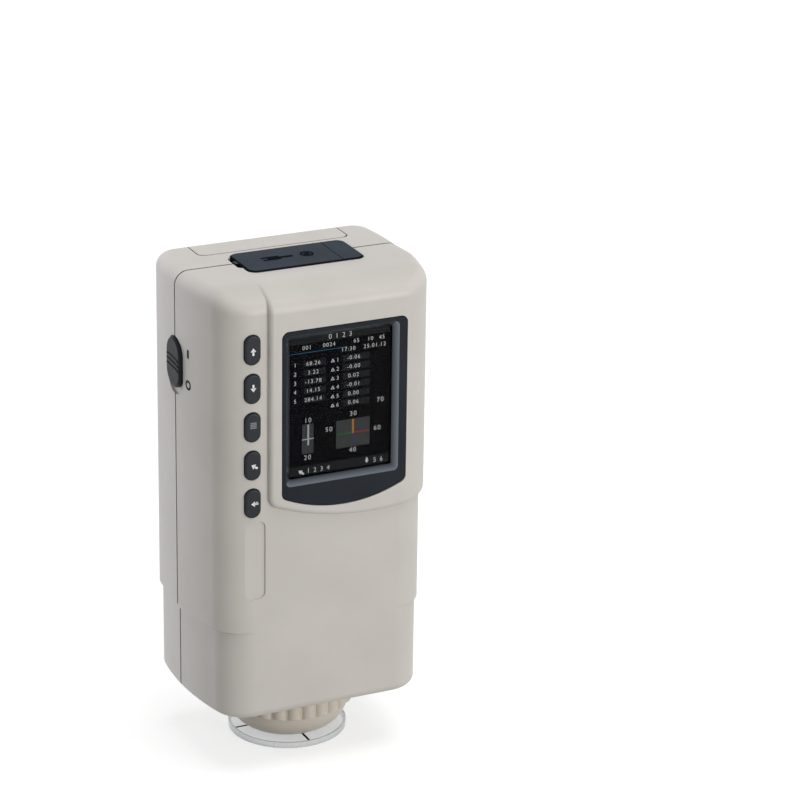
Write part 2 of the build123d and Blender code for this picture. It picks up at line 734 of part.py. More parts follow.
def battery_contacts():
    """Three bent spring contacts on the floor of the compartment."""
    middle_y = (BATTERY_WALL_Y + BATTERY_WALL_T + REAR_Y - COVER_T) / 2
    contacts = []
    for x in (-8.0, 0.0, 8.0):
        base = block(x - 1.5, x + 1.5, middle_y - 4, middle_y + 4, BATTERY_LOW_Z, BATTERY_LOW_Z + 0.8)
        bow = side_prism(Pos(middle_y, BATTERY_LOW_Z) * Circle(4.4), x - 1.5, x + 1.5)
        bow -= side_prism(Pos(middle_y, BATTERY_LOW_Z) * Circle(3.8), x - 2, x + 2)
        bow = bow & block(x - 2, x + 2, middle_y - 5, middle_y + 5, BATTERY_LOW_Z, BATTERY_LOW_Z + 10)
        contacts.append(base + bow)
    return Compound(children=contacts)


def optics_mount():
    """Flanged neck with an inner web and three lugs for the collar."""
    tube = ring(17.5, NECK_R, 12.0, INNER_BASE + 0.5)
    flange = ring(17.5, 24.0, INNER_BASE, INNER_BASE + 2.5)
    web = ring(6.8, 18.0, 12.0, 14.0)
    mount = tube + flange + web
    lug_ring = ring(NECK_R - 0.5, 21.2, 15.6, 17.2)
    for third in range(3):
        sector = Rot(0, 0, 120 * third) * block(0, 30, -5, 5, 15, 18)
        mount += lug_ring & sector
    return mount


def aperture_tube():
    """Tapered white tube whose mouth is the measuring aperture."""
    outside = [(APERTURE_R, 0.0), (5.0, 0.0), (6.5, 6.0), (6.5, 14.0), (9.5, 14.0), (9.5, 15.5)]
    inside = [(5.2, 15.5), (5.2, 11.0), (APERTURE_R, 9.0)]
    profile = make_face(Polyline(*[(r, 0, z) for r, z in outside + inside], close=True))
    return revolve(profile, Axis.Z)


def sphere_half(sign):
    """Hollow half sphere with a flange at its equator."""
    centre = Pos(0, 0, SPHERE_Z)
    half = centre * Sphere(SPHERE_R)
    low = SPHERE_Z if sign > 0 else SPHERE_Z - 2
    half += ring(SPHERE_R - 1, 20.0, low, low + 2)
    if sign > 0:
        half += z_cylinder(9.0, SPHERE_Z + 10, 46.4) + z_cylinder(7.0, 40.0, 49.0)
        half -= z_cylinder(4.0, 40.0, 60.0)
        keep = block(-40, 40, -40, 40, SPHERE_Z, 90)
    else:
        half += z_cylinder(7.5, 16.0, 22.0)
        half -= z_cylinder(5.2, 0.0, 22.0)
        keep = block(-40, 40, -40, 40, 0, SPHERE_Z)
    return (half - centre * Sphere(SPHERE_R - 2)) & keep


def lamp_board():
    """Ring-shaped board round the top of the sphere."""
    return ring(7.3, 20.0, 46.4, 46.4 + BOARD_T)


def lamp_leds():
    """Six small lamps with domed lenses under the lamp board."""
    lamps = []
    for step in range(6):
        angle = radians(60 * step)
        x = 14.5 * cos(angle)
        y = 14.5 * sin(angle)
        base = block(x - 1.6, x + 1.6, y - 1.6, y + 1.6, 45.4, 46.4)
        dome = Pos(x, y, 45.5) * Sphere(1.2)
        lamps.append(base + (dome & block(x - 2, x + 2, y - 2, y + 2, 40, 45.5)))
    return Compound(children=lamps)


def sensor_tube():
    """Black tube above the sphere with a ledge for the lens."""
    tube = ring(4.5, 7.0, 49.0, 68.0) + ring(6.5, 9.0, 66.0, 68.0)
    return tube + ring(3.6, 5.0, 53.0, 54.0)


def sensor_lens():
    """Lens with one flat and one domed side."""
    ball = Pos(0, 0, 49.0) * Sphere(8.6)
    return z_cylinder(4.45, 54.0, 60.0) & ball


def sensor_board():
    """Square board on top of the sensor tube."""
    return block(-12, 12, -12, 12, 68.0, 68.0 + BOARD_T)


def sensor_chip():
    """Light sensor under its board, inside the tube."""
    return block(-2.6, 2.6, -2.6, 2.6, 66.6, 68.0)


def locating_collar():
    """Fluted ring with an inner ledge that hangs on the lugs of the neck."""
    height = COLLAR_TOP - COLLAR_LOW
    outline = Circle(COLLAR_R - 1.6)
    flute_r = 2.9
    for step in range(FLUTES):
        turn = Rot(0, 0, 360 / FLUTES * step)
        outline += turn * (Pos(COLLAR_R - flute_r, 0) * Circle(flute_r))
    body = extrude(Pos(0, 0, COLLAR_LOW) * outline, height)
    cone = Pos(0, 0, COLLAR_LOW + height / 2) * Cylinder(COLLAR_R + 1, height)
    body = body & chamfer(cone.edges(), 1.6)
    body -= z_cylinder(NECK_R + 0.35, COLLAR_LOW - 1, COLLAR_TOP + 1)
    body -= z_cylinder(21.6, COLLAR_LOW - 1, 17.8)
    return body


def locating_skirt():
    """Bowl-shaped skirt between the collar and the ring plate."""
    outer = [
        Line((12.0, 0, 2.0), (14.5, 0, 2.0)),
        ThreePointArc((14.5, 0, 2.0), (22.0, 0, 6.3), (25.0, 0, COLLAR_LOW)),
        Line((25.0, 0, COLLAR_LOW), (22.6, 0, COLLAR_LOW)),
        ThreePointArc((22.6, 0, COLLAR_LOW), (20.3, 0, 7.9), (14.0, 0, 4.2)),
        Line((14.0, 0, 4.2), (12.0, 0, 4.0)),
        Line((12.0, 0, 4.0), (12.0, 0, 2.0)),
    ]
    return revolve(make_face(outer), Axis.Z)


def locating_plate():
    """Clear ring plate with a raised rim."""
    return ring(10.0, PLATE_R, 0.4, 2.0) + ring(PLATE_R - 1.0, PLATE_R, 0.0, 2.4)


def parts_by_name():
    """Every piece of the instrument, under its own name."""
    outer = envelope()
    pieces = {
        "front_housing": front_housing(outer),
        "rear_housing": rear_housing(outer),
        "battery_cover": battery_cover(outer),
    }
    makers = (
        display_bezel, display_window, lcd_panel, lcd_frame, key_board, key_switches, main_board,
        board_screws, housing_screws, buzzer, power_slider, power_switch, measure_button,
        measure_switch, port_tray, usb_socket, dc_socket, port_cover, port_cover_anchor,
        battery_pack, battery_contacts, optics_mount, aperture_tube, lamp_board, lamp_leds,
        sensor_tube, sensor_lens, sensor_board, sensor_chip, locating_collar, locating_skirt,
        locating_plate,
    )
    for maker in makers:
        pieces[maker.__name__] = maker()
    pieces["sphere_lower"] = sphere_half(-1)
    pieces["sphere_upper"] = sphere_half(1)
    for index, name in enumerate(KEY_NAMES):
        pieces[name] = key(index)
    return pieces


def main():
    """Write one file for each piece."""
    os.makedirs("parts", exist_ok=True)
    for name, piece in parts_by_name().items():
        piece.label = name
        export_step(piece, os.path.join("parts", name + ".step"))


main()
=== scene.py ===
import math

import bpy
from mathutils import Matrix, Vector


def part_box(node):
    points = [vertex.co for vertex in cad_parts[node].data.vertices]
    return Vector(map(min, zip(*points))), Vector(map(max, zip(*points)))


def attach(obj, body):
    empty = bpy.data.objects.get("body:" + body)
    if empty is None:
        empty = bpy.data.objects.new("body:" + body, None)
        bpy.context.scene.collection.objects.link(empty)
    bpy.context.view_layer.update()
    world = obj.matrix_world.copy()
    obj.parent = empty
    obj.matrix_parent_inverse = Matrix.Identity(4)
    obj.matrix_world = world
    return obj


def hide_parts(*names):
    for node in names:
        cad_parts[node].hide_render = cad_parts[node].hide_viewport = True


bl_info = {
    "name": "Portable colorimeter",
    "version": (1, 0, 0),
    "blender": (4, 5, 0),
    "location": "3D View > Sidebar > Colorimeter",
    "description": "Dresses the packed colorimeter with its finishes, prints and studio",
    "category": "Object",
}

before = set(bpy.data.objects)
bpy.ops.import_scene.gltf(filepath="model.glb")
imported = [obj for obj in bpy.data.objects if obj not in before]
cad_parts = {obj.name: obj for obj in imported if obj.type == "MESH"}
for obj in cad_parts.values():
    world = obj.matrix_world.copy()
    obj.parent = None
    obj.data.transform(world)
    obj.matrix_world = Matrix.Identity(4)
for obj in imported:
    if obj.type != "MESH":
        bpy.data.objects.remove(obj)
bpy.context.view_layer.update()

MM = 0.001
KEY_NODES = ("key_up", "key_down", "key_menu", "key_back", "key_enter")

# Distance in metres below which two places count as one.
TOUCH = 1e-7

# Width of one pixel in millimetres: the picture is 240 of them wide.
PIXEL = 0.18

# Repeat of the glass weave in the circuit boards in millimetres, two strands wide and four rows high.
WEAVE = 2.5

# Figures are thinned by this share of their size, so that their strokes are as fine as printed ones.
STROKE_THINNING = 0.008


# Colour and node helpers

def linear(hex_colour, alpha=1.0):
    """Turn an sRGB hex value into linear colour with alpha."""
    digits = hex_colour.lstrip("#")
    values = []
    for start in (0, 2, 4):
        s = int(digits[start:start + 2], 16) / 255
        values.append(s / 12.92 if s <= 0.04045 else ((s + 0.055) / 1.055) ** 2.4)
    return (*values, alpha)


def add(tree, kind, inputs=None, **settings):
    """Add a node, set its settings, and set or link its inputs."""
    node = tree.nodes.new(kind)
    for name, value in settings.items():
        setattr(node, name, value)
    for name, value in (inputs or {}).items():
        if isinstance(value, bpy.types.NodeSocket):
            tree.links.new(value, node.inputs[name])
        else:
            node.inputs[name].default_value = value
    return node


def new_material(name):
    """Empty material with a principled shader joined to its output."""
    material = bpy.data.materials.new(name)
    material.use_nodes = True
    tree = material.node_tree
    tree.nodes.clear()
    shader = add(tree, "ShaderNodeBsdfPrincipled")
    add(tree, "ShaderNodeOutputMaterial", {"Surface": shader.outputs["BSDF"]})
    return material, tree, shader


def object_noise(tree, size_mm, detail=2.0, stretch=(1.0, 1.0, 1.0)):
    """Noise on object coordinates whose grain is about size_mm wide."""
    place = add(tree, "ShaderNodeTexCoord")
    mapping = add(tree, "ShaderNodeMapping", {"Vector": place.outputs["Object"], "Scale": stretch})
    return add(
        tree,
        "ShaderNodeTexNoise",
        {"Vector": mapping.outputs["Vector"], "Scale": 1000.0 / size_mm, "Detail": detail},
    )


def tint(tree, noise, dark, light, low=0.35, high=0.65):
    """Slow change between two close colours."""
    ramp = add(tree, "ShaderNodeValToRGB", {"Fac": noise.outputs["Fac"]})
    ramp.color_ramp.elements[0].position = low
    ramp.color_ramp.elements[0].color = linear(dark)
    ramp.color_ramp.elements[1].position = high
    ramp.color_ramp.elements[1].color = linear(light)
    return ramp.outputs["Color"]


def gloss_range(tree, noise, low, high):
    """Roughness that follows a noise."""
    node = add(
        tree,
        "ShaderNodeMapRange",
        {"Value": noise.outputs["Fac"], "From Min": 0.3, "From Max": 0.7, "To Min": low, "To Max": high},
    )
    return node.outputs["Result"]


def relief(tree, shader, noise, depth_mm, strength=1.0):
    """Bump of a real depth from a noise."""
    bump = add(
        tree,
        "ShaderNodeBump",
        {"Height": noise.outputs["Fac"], "Distance": depth_mm * MM, "Strength": strength},
    )
    tree.links.new(bump.outputs["Normal"], shader.inputs["Normal"])


def moulded_plastic(name, dark, light, rough, grain_mm, depth_mm, gloss=0.5):
    """Injection-moulded plastic: close tints, eroded mould texture, uneven gloss."""
    material, tree, shader = new_material(name)
    cloud = object_noise(tree, 30.0, 3.0)
    grain = object_noise(tree, grain_mm, 2.0)
    tree.links.new(tint(tree, cloud, dark, light), shader.inputs["Base Color"])
    tree.links.new(gloss_range(tree, grain, rough - 0.05, rough + 0.07), shader.inputs["Roughness"])
    shader.inputs["IOR"].default_value = 1.53
    shader.inputs["Specular IOR Level"].default_value = gloss
    relief(tree, shader, grain, depth_mm)
    return material


# Finishes, one for each real material

# The painted reflection on the bevel round the display darkens between these depths behind the frame's face,
# in millimetres.
BEVEL_PALE_DEPTH = 0.2
BEVEL_DARK_DEPTH = 2.0


def shell_abs():
    """Warm light grey ABS from a finely eroded mould: soft sheen with a sandy grain."""
    look = bpy.context.scene.colorimeter
    return moulded_plastic("warm_grey_abs", look.shell_dark, look.shell_light, 0.45, 0.45, 0.006)


def dust_and_shade_joint():
    """Same ABS inside the narrow joint, greyed by dust and by painted shade."""
    return moulded_plastic("dusty_shaded_joint_abs", "#8D8A84", "#98958F", 0.7, 0.3, 0.006, 0.1)


def slate_abs():
    """Slate blue-grey ABS of the display frame and the slider: a quiet satin, darker than the shell."""
    return moulded_plastic("slate_abs", "#191D23", "#1F2329", 0.4, 0.5, 0.003, 0.1)


def polished_slate_painted_reflection():
    """Metallised slate of the display's bevel: mirrors the room or the dark pane, with a painted reflection
    that makes it paler outwards and darker inwards.
    """
    material, tree, shader = new_material("polished_slate_painted_reflection")
    low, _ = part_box("display_bezel")
    place = add(tree, "ShaderNodeTexCoord")
    axes = add(tree, "ShaderNodeSeparateXYZ", {"Vector": place.outputs["Object"]})
    depth = add(
        tree,
        "ShaderNodeMapRange",
        {
            "Value": axes.outputs["Y"],
            "From Min": low[1] + BEVEL_PALE_DEPTH * MM,
            "From Max": low[1] + BEVEL_DARK_DEPTH * MM,
        },
    )
    # Painted reflection: paler at the frame's face, darker deeper in towards the pane.
    ramp = add(tree, "ShaderNodeValToRGB", {"Fac": depth.outputs["Result"]})
    ramp.color_ramp.elements[0].color = linear("#666C74")
    ramp.color_ramp.elements[1].color = linear("#30343A")
    tree.links.new(ramp.outputs["Color"], shader.inputs["Base Color"])
    grain = object_noise(tree, 0.6, 2.0)
    tree.links.new(gloss_range(tree, grain, 0.12, 0.2), shader.inputs["Roughness"])
    shader.inputs["Metallic"].default_value = 0.75
    return material


def slate_rubber():
    """Slate silicone rubber of the flap and the reading button: matt and slightly dusty."""
    return moulded_plastic("slate_silicone", "#282F37", "#303841", 0.6, 0.35, 0.005, 0.07)


def rubber_painted_shade():
    """Same rubber on the rim, the fold and the underside of the flap: darkened by painted shade, with no
    sheen.
    """
    return moulded_plastic("slate_silicone_painted_shade", "#12161A", "#191D22", 0.7, 0.35, 0.005, 0.0)


def key_silicone():
    """Near-black silicone of the keys: soft sheen on the rounded rims."""
    return moulded_plastic("black_silicone", "#13171D", "#1B2027", 0.38, 0.4, 0.003, 0.25)


def ivory_abs():
    """Ivory ABS of the collar, skirt and neck: a shade warmer than the shell."""
    return moulded_plastic("ivory_abs", "#C8BFB2", "#CFC7BB", 0.38, 0.5, 0.004)


def white_ptfe():
    """Sintered white PTFE of the sphere and the aperture: dead matt and slightly waxy."""
    material = moulded_plastic("white_ptfe", "#EDECE8", "#F4F3F0", 0.8, 0.3, 0.003)
    shader = material.node_tree.nodes["Principled BSDF"]
    shader.inputs["Subsurface Weight"].default_value = 0.1
    shader.inputs["Subsurface Radius"].default_value = (0.001, 0.001, 0.001)
    return material


def black_nylon():
    """Glass-filled black nylon of sockets, switches and the sensor tube: grey flecks in the grain."""
    return moulded_plastic("black_nylon", "#101113", "#1B1C1F", 0.5, 0.3, 0.004)


def battery_film():
    """Blue shrink film round the cells: glossy with soft wrinkles."""
    material, tree, shader = new_material("blue_shrink_film")
    wrinkle = object_noise(tree, 6.0, 3.0, (1.0, 1.0, 0.3))
    tree.links.new(tint(tree, wrinkle, "#1D4378", "#27528C"), shader.inputs["Base Color"])
    shader.inputs["Roughness"].default_value = 0.22
    relief(tree, shader, wrinkle, 0.08)
    return material


def bright_steel():
    """Nickel-plated steel of screws, contacts and frames: bright with rolled streaks."""
    material, tree, shader = new_material("nickel_steel")
    streak = object_noise(tree, 0.4, 2.0, (1.0, 1.0, 0.08))
    tree.links.new(tint(tree, streak, "#9C9C9E", "#C6C6C8"), shader.inputs["Base Color"])
    tree.links.new(gloss_range(tree, streak, 0.22, 0.36), shader.inputs["Roughness"])
    shader.inputs["Metallic"].default_value = 1.0
    relief(tree, shader, streak, 0.004)
    return material


def circuit_board():
    """Green solder mask on glass laminate: a fine weave under a clear gloss."""
    material, tree, shader = new_material("green_solder_mask")
    place = add(tree, "ShaderNodeTexCoord")
    weave = add(
        tree,
        "ShaderNodeTexBrick",
        {
            "Vector": place.outputs["Object"],
            "Color1": linear("#14532C"),
            "Color2": linear("#175C31"),
            "Mortar": linear("#0E4423"),
            "Scale": 1.0 / (WEAVE * MM),
            "Mortar Size": 0.06,
        },
    )
    tree.links.new(weave.outputs["Color"], shader.inputs["Base Color"])
    shader.inputs["Roughness"].default_value = 0.3
    shader.inputs["Coat Weight"].default_value = 0.3
    return material


def display_glass():
    """Black face of a switched-on display: deep black, almost mirror smooth."""
    material, tree, shader = new_material("display_black")
    smear = object_noise(tree, 12.0, 2.0)
    tree.links.new(tint(tree, smear, "#040406", "#070709"), shader.inputs["Base Color"])
    tree.links.new(gloss_range(tree, smear, 0.1, 0.18), shader.inputs["Roughness"])
    shader.inputs["Specular IOR Level"].default_value = 0.02
    return material


def see_through(name, tint_hex, thin, edge, low_gloss, high_gloss):
    """Clear plastic: almost unseen face on, denser and brighter where the eye meets it at a slant."""
    material, tree, shader = new_material(name)
    smear = object_noise(tree, 6.0, 2.0)
    tree.links.new(gloss_range(tree, smear, low_gloss, high_gloss), shader.inputs["Roughness"])
    shader.inputs["Base Color"].default_value = linear(tint_hex)
    slant = add(tree, "ShaderNodeLayerWeight", {"Blend": 0.2})
    cover = add(
        tree, "ShaderNodeMapRange", {"Value": slant.outputs["Facing"], "To Min": thin, "To Max": edge})
    tree.links.new(cover.outputs["Result"], shader.inputs["Alpha"])
    return material


def clear_pane():
    """Hard-coated acrylic pane and lens: only its gloss shows, over a faint smear."""
    return see_through("clear_hard_coat", "#0B0C0E", 0.04, 0.3, 0.03, 0.07)


def clear_acrylic():
    """Cast clear acrylic of the ring plate: glassy across, with a faint cool tint."""
    return see_through("clear_acrylic", "#D5DCDE", 0.08, 0.45, 0.04, 0.12)


def acrylic_rim_painted_highlight():
    """Turned rim of the ring plate: milkier than the flat of the plate, and paler with a painted highlight
    where the light gathers.
    """
    return see_through("clear_acrylic_rim_painted_highlight", "#C3CBCE", 0.35, 0.9, 0.1, 0.2)


def lamp_resin():
    """Pale yellow phosphor resin of the lamps."""
    return moulded_plastic("phosphor_resin", "#EFE3A8", "#F6EDC4", 0.25, 1.0, 0.002)


# Share of an ink's own lightness that is left where its cover is thin.
THIN_INK = 0.92


def print_ink(name, colour, gloss=0.1):
    """Screen ink with slightly uneven cover and hardly any gloss."""
    material, tree, shader = new_material(name)
    cover = object_noise(tree, 0.6, 2.0)
    thin = "#%02X%02X%02X" % tuple(int(int(colour[i:i + 2], 16) * THIN_INK) for i in (1, 3, 5))
    tree.links.new(tint(tree, cover, thin, colour), shader.inputs["Base Color"])
    shader.inputs["Roughness"].default_value = 0.5
    shader.inputs["Specular IOR Level"].default_value = gloss
    return material


def lit_pixels(name, colour, glow):
    """Lit part of the picture: a fine grid of pixels that glow on a black ground."""
    material, tree, shader = new_material(name)
    place = add(tree, "ShaderNodeTexCoord")
    upright = add(
        tree, "ShaderNodeMapping",
        {"Vector": place.outputs["Object"], "Rotation": (math.radians(90), 0, 0)})
    grid = add(
        tree, "ShaderNodeTexBrick",
        {
            "Vector": upright.outputs["Vector"],
            "Color1": linear(colour),
            "Color2": linear(colour),
            "Mortar": linear("#000000"),
            "Scale": 1.0 / (PIXEL * MM),
            "Mortar Size": 0.04,
            "Brick Width": 1.0,
            "Row Height": 1.0,
        },
        offset=0.0,
    )
    tree.links.new(grid.outputs["Color"], shader.inputs["Emission Color"])
    shader.inputs["Emission Strength"].default_value = glow
    shader.inputs["Base Color"].default_value = linear("#040405")
    shader.inputs["Specular IOR Level"].default_value = 0.02
    return material


# Modelling helpers

def select_only(obj):
    """Make one object the only selected and active one."""
    bpy.ops.object.select_all(action="DESELECT")
    obj.select_set(True)
    bpy.context.view_layer.objects.active = obj


def settle(obj, name, material, body):
    """Name a piece, put its place into its mesh, give it its finish and let it ride."""
    select_only(obj)
    bpy.ops.object.transform_apply(location=True, rotation=True, scale=True)
    obj.name = name
    obj.data.name = name
    obj.data.materials.clear()
    obj.data.materials.append(material)
    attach(obj, body)
    return obj


def join(objects):
    """Join several new objects into the first one."""
    bpy.ops.object.select_all(action="DESELECT")
    for obj in objects:
        obj.select_set(True)
    bpy.context.view_layer.objects.active = objects[0]
    bpy.ops.object.join()
    return objects[0]


def copy_of(obj):
    """Second object with its own copy of the mesh."""
    twin = obj.copy()
    twin.data = obj.data.copy()
    bpy.context.collection.objects.link(twin)
    return twin


def tidy_mesh(obj):
    """Merge doubles and turn every face outwards."""
    select_only(obj)
    bpy.ops.object.mode_set(mode="EDIT")
    bpy.ops.mesh.select_all(action="SELECT")
    bpy.ops.mesh.remove_doubles(threshold=TOUCH)
    bpy.ops.mesh.normals_make_consistent(inside=False)
    bpy.ops.object.mode_set(mode="OBJECT")
    return obj


def raised(obj, height):
    """Extrude a flat shape along its own Z by a height in metres and close it."""
    select_only(obj)
    bpy.ops.object.transform_apply(location=False, rotation=False, scale=True)
    bpy.ops.object.mode_set(mode="EDIT")
    bpy.ops.mesh.select_all(action="SELECT")
    bpy.ops.mesh.extrude_region_move(TRANSFORM_OT_translate={"value": (0, 0, height)})
    bpy.ops.object.mode_set(mode="OBJECT")
    return tidy_mesh(obj)


def flat_bar(width, length, height):
    """Low bar with softened corners, flat on XY, sizes in metres."""
    bpy.ops.object.select_all(action="DESELECT")
    bpy.ops.mesh.primitive_plane_add(size=1.0)
    bar = bpy.context.object
    bar.scale = (width, length, 1.0)
    bpy.ops.object.transform_apply(location=False, rotation=False, scale=True)
    bpy.ops.object.mode_set(mode="EDIT")
    bpy.ops.mesh.select_all(action="SELECT")
    bpy.ops.mesh.bevel(offset=min(min(width, length) * 0.2, 0.15 * MM), segments=2, affect="VERTICES")
    bpy.ops.object.mode_set(mode="OBJECT")
    return raised(bar, height)


def arrow(length, width, height):
    """Solid arrow that points along +Y, centred on its own origin."""
    head_length = length * 0.5
    bpy.ops.object.select_all(action="DESELECT")
    bpy.ops.mesh.primitive_circle_add(vertices=3, radius=head_length * 2 / 3, fill_type="NGON")
    head = bpy.context.object
    head.scale = (width / (head_length * 1.155), 1.0, 1.0)
    head = raised(head, height)
    head.location.y = length / 2 - head_length * 2 / 3
    shaft = flat_bar(width * 0.36, length * 0.56, height)
    shaft.location.y = -length * 0.2
    return join([head, shaft])


def ring_mark(radius, thickness, height, corners=32):
    """Flat printed ring, or an outlined triangle when it has three corners."""
    bpy.ops.object.select_all(action="DESELECT")
    bpy.ops.mesh.primitive_circle_add(vertices=corners, radius=radius, fill_type="NGON")
    mark = bpy.context.object
    bpy.ops.object.mode_set(mode="EDIT")
    bpy.ops.mesh.select_all(action="SELECT")
    bpy.ops.mesh.inset(thickness=thickness)
    bpy.ops.mesh.delete(type="FACE")
    bpy.ops.object.mode_set(mode="OBJECT")
    return raised(mark, height)


def figures(text, size, height, spacing=1.0):
    """Raised figures as a mesh, flat on XY, centred."""
    bpy.ops.object.select_all(action="DESELECT")
    bpy.ops.object.text_add()
    obj = bpy.context.object
    obj.data.body = text
    obj.data.size = size
    obj.data.align_x = "CENTER"
    obj.data.align_y = "CENTER"
    obj.data.resolution_u = 3
    obj.data.space_character = spacing
    obj.data.offset = -STROKE_THINNING * size
    obj.data.extrude = height / 2
    bpy.ops.object.convert(target="MESH")
    return bpy.context.object


def place_front(obj, x, y, z, turn=0.0):
    """Stand a flat shape up so that it faces the front, at x, y, z in millimetres."""
    obj.rotation_euler = (math.radians(90), -turn, 0)
    obj.location = (x * MM, y * MM, z * MM)
    select_only(obj)
    bpy.ops.object.transform_apply(location=True, rotation=True, scale=True)
    return obj


def place_left(obj, x, y, z, lean=0.0):
    """Stand a flat shape up so that it faces the left side, leaning with the bowed wall."""
    facing = Matrix(((0, 0, -1), (-1, 0, 0), (0, 1, 0))).to_4x4()
    obj.matrix_world = Matrix.Translation((x * MM, y * MM, z * MM)) @ Matrix.Rotation(lean, 4, "Z") @ facing
    select_only(obj)
    bpy.ops.object.transform_apply(location=True, rotation=True, scale=True)
    return obj


# Settings

class ColorimeterLook(bpy.types.PropertyGroup):
    """Sizes and colours of the visible details."""

    shell_dark: bpy.props.StringProperty(
        name="Shell dark", description="Darker tint of the shell as sRGB hex", default="#BEBAB4")
    shell_light: bpy.props.StringProperty(
        name="Shell light", description="Lighter tint of the shell as sRGB hex", default="#C3BFB9")
    print_height: bpy.props.FloatProperty(
        name="Print height", description="How far printed marks stand up", default=0.04 * MM, unit="LENGTH")
    key_sign: bpy.props.FloatProperty(
        name="Key sign", description="Length of the sign on a key", default=3.1 * MM, unit="LENGTH")
    screen_glow: bpy.props.FloatProperty(
        name="Screen glow", description="Brightness of the lit picture", default=1.0, subtype="FACTOR")
    lens: bpy.props.FloatProperty(
        name="Lens", description="Focal length of the camera in millimetres", default=155.67)


# Pieces

FINISHES = {
    shell_abs: ("front_housing", "rear_housing", "battery_cover"),
    slate_abs: ("display_bezel", "power_slider"),
    slate_rubber: ("port_cover", "port_cover_anchor", "measure_button"),
    key_silicone: KEY_NODES,
    ivory_abs: ("optics_mount", "locating_collar", "locating_skirt"),
    white_ptfe: ("aperture_tube", "sphere_lower", "sphere_upper"),
    black_nylon: (
        "key_switches", "power_switch", "measure_switch", "port_tray", "dc_socket", "buzzer",
        "sensor_tube", "sensor_chip",
    ),
    bright_steel: ("lcd_frame", "usb_socket", "battery_contacts", "board_screws", "housing_screws"),
    circuit_board: ("key_board", "main_board", "lamp_board", "sensor_board"),
    battery_film: ("battery_pack",),
    display_glass: ("lcd_panel",),
    clear_pane: ("display_window", "sensor_lens"),
    clear_acrylic: ("locating_plate",),
    lamp_resin: ("lamp_leds",),
}


# Plain edge of the display frame, its plain chin under the bevel, and width of the ring plate's rim.
FRAME_EDGE = 1.0
CHIN = 8.0
RIM_WIDTH = 1.1

# Depth of the joint between the two shells, how far its groove reaches to either side, and the lid's edge.
PARTING_Y = -0.8
JOINT_REACH = 0.5
LID_EDGE = 1.9

# A face whose normal has at least this much of upright in it belongs to the flap's upper face; the rest gets
# painted shade.
RIM_SLOPE = 0.93


class COLORIMETER_OT_finishes(bpy.types.Operator):
    """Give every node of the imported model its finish"""

    bl_idname = "colorimeter.finishes"
    bl_label = "Finishes"

    def execute(self, context):
        for maker, nodes in FINISHES.items():
            material = maker()
            for node in nodes:
                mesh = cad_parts[node].data
                mesh.materials.clear()
                mesh.materials.append(material)
        self.polish_bevel_and_paint_reflection()
        self.mill_and_highlight_rim()
        self.shade_joint()
        self.paint_shade_on_flap()
        return {"FINISHED"}

    def paint_shade_on_flap(self):
        """Paint shade on all but the upper face of the flap and of its fixed end."""
        dark = rubber_painted_shade()
        for node in ("port_cover", "port_cover_anchor"):
            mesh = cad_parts[node].data
            mesh.materials.append(dark)
            # Painted shade on every face that does not face up.
            for face in mesh.polygons:
                if face.normal.z < RIM_SLOPE:
                    face.material_index = 1

    def shade_joint(self):
        """Paint the groove between the two shells and the edges of the battery lid darker, for a little dust
        and for the shade that falls in the joint.
        """
        dust_and_shade = dust_and_shade_joint()
        for node in ("front_housing", "rear_housing"):
            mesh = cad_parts[node].data
            mesh.materials.append(dust_and_shade)
            # Dust and painted shade on the walls of the groove.
            for face in mesh.polygons:
                if abs(face.center.y / MM - PARTING_Y) < JOINT_REACH and abs(face.normal.y) > 0.5:
                    face.material_index = 1
        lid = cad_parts["battery_cover"].data
        lid.materials.append(dust_and_shade)
        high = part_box("battery_cover")[1]
        # Dust and painted shade on the edges of the lid.
        for face in lid.polygons:
            front_edge = face.normal.y < -0.5 and face.center.z > high[2] - LID_EDGE * MM
            if front_edge or abs(face.normal.x) > 0.9:
                face.material_index = 1

    def mill_and_highlight_rim(self):
        """Give the turned rim of the ring plate its milkier look and its painted highlight."""
        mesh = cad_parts["locating_plate"].data
        mesh.materials.append(acrylic_rim_painted_highlight())
        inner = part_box("locating_plate")[1][0] - RIM_WIDTH * MM
        for face in mesh.polygons:
            if face.center.xy.length > inner:
                face.material_index = 1

    def polish_bevel_and_paint_reflection(self):
        """Give the sloping faces round the screen their own gloss and a painted reflection, paler towards
        the frame's face.
        """
        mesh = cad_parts["display_bezel"].data
        mesh.materials.append(polished_slate_painted_reflection())
        low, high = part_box("display_bezel")
        edge = FRAME_EDGE * MM
        for face in mesh.polygons:
            inside = low[0] + edge < face.center.x < high[0] - edge and face.center.z < high[2] - edge
            above_chin = face.center.z > low[2] + CHIN * MM
            slopes = 0.2 < -face.normal.y < 0.95
            if inside and above_chin and slopes:
                face.material_index = 1


# The lit picture, 43.2 by 57.6 mm. Places on it are in millimetres right and down from its top left corner.
PICTURE_W = 43.2
PICTURE_H = 57.6
PICTURE_STEP = 0.02
SMALL_TEXT = 2.3
LABEL_TEXT = 2.8
TEXT_SPACING = 1.2
FIRST_ROW = 11.2
ROW_PITCH = 3.7
READINGS = ("68.26", "3.22", "-13.78", "14.15", "284.14")
READING_NUMBER = 2.7
READING_VALUE = 10.3
READING_FIELD = (6.3, 15.6)
DIFFERENCES = ("-0.06", "-0.00", "0.02", "-0.01", "0.00", "0.06")
DIFFERENCE_SIGN = 18.5
DIFFERENCE_NUMBER = 20.6
DIFFERENCE_VALUE = 27.3
DIFFERENCE_FIELD = (22.9, 34.2)
TRIANGLE_R = 0.96
TRIANGLE_STROKE = 0.224
BAND_EDGES = (0.6, PICTURE_W - 0.6)
HEADING_BAND = (0.3, 2.9)
KEY_BAND = (53.2, 56.9)
HEADING_LINE = (0.8, 6.4, 24.5, 6.65)
SCALE_EDGES = (5.7, 10.5)
PLOT_LEFT = 20.1
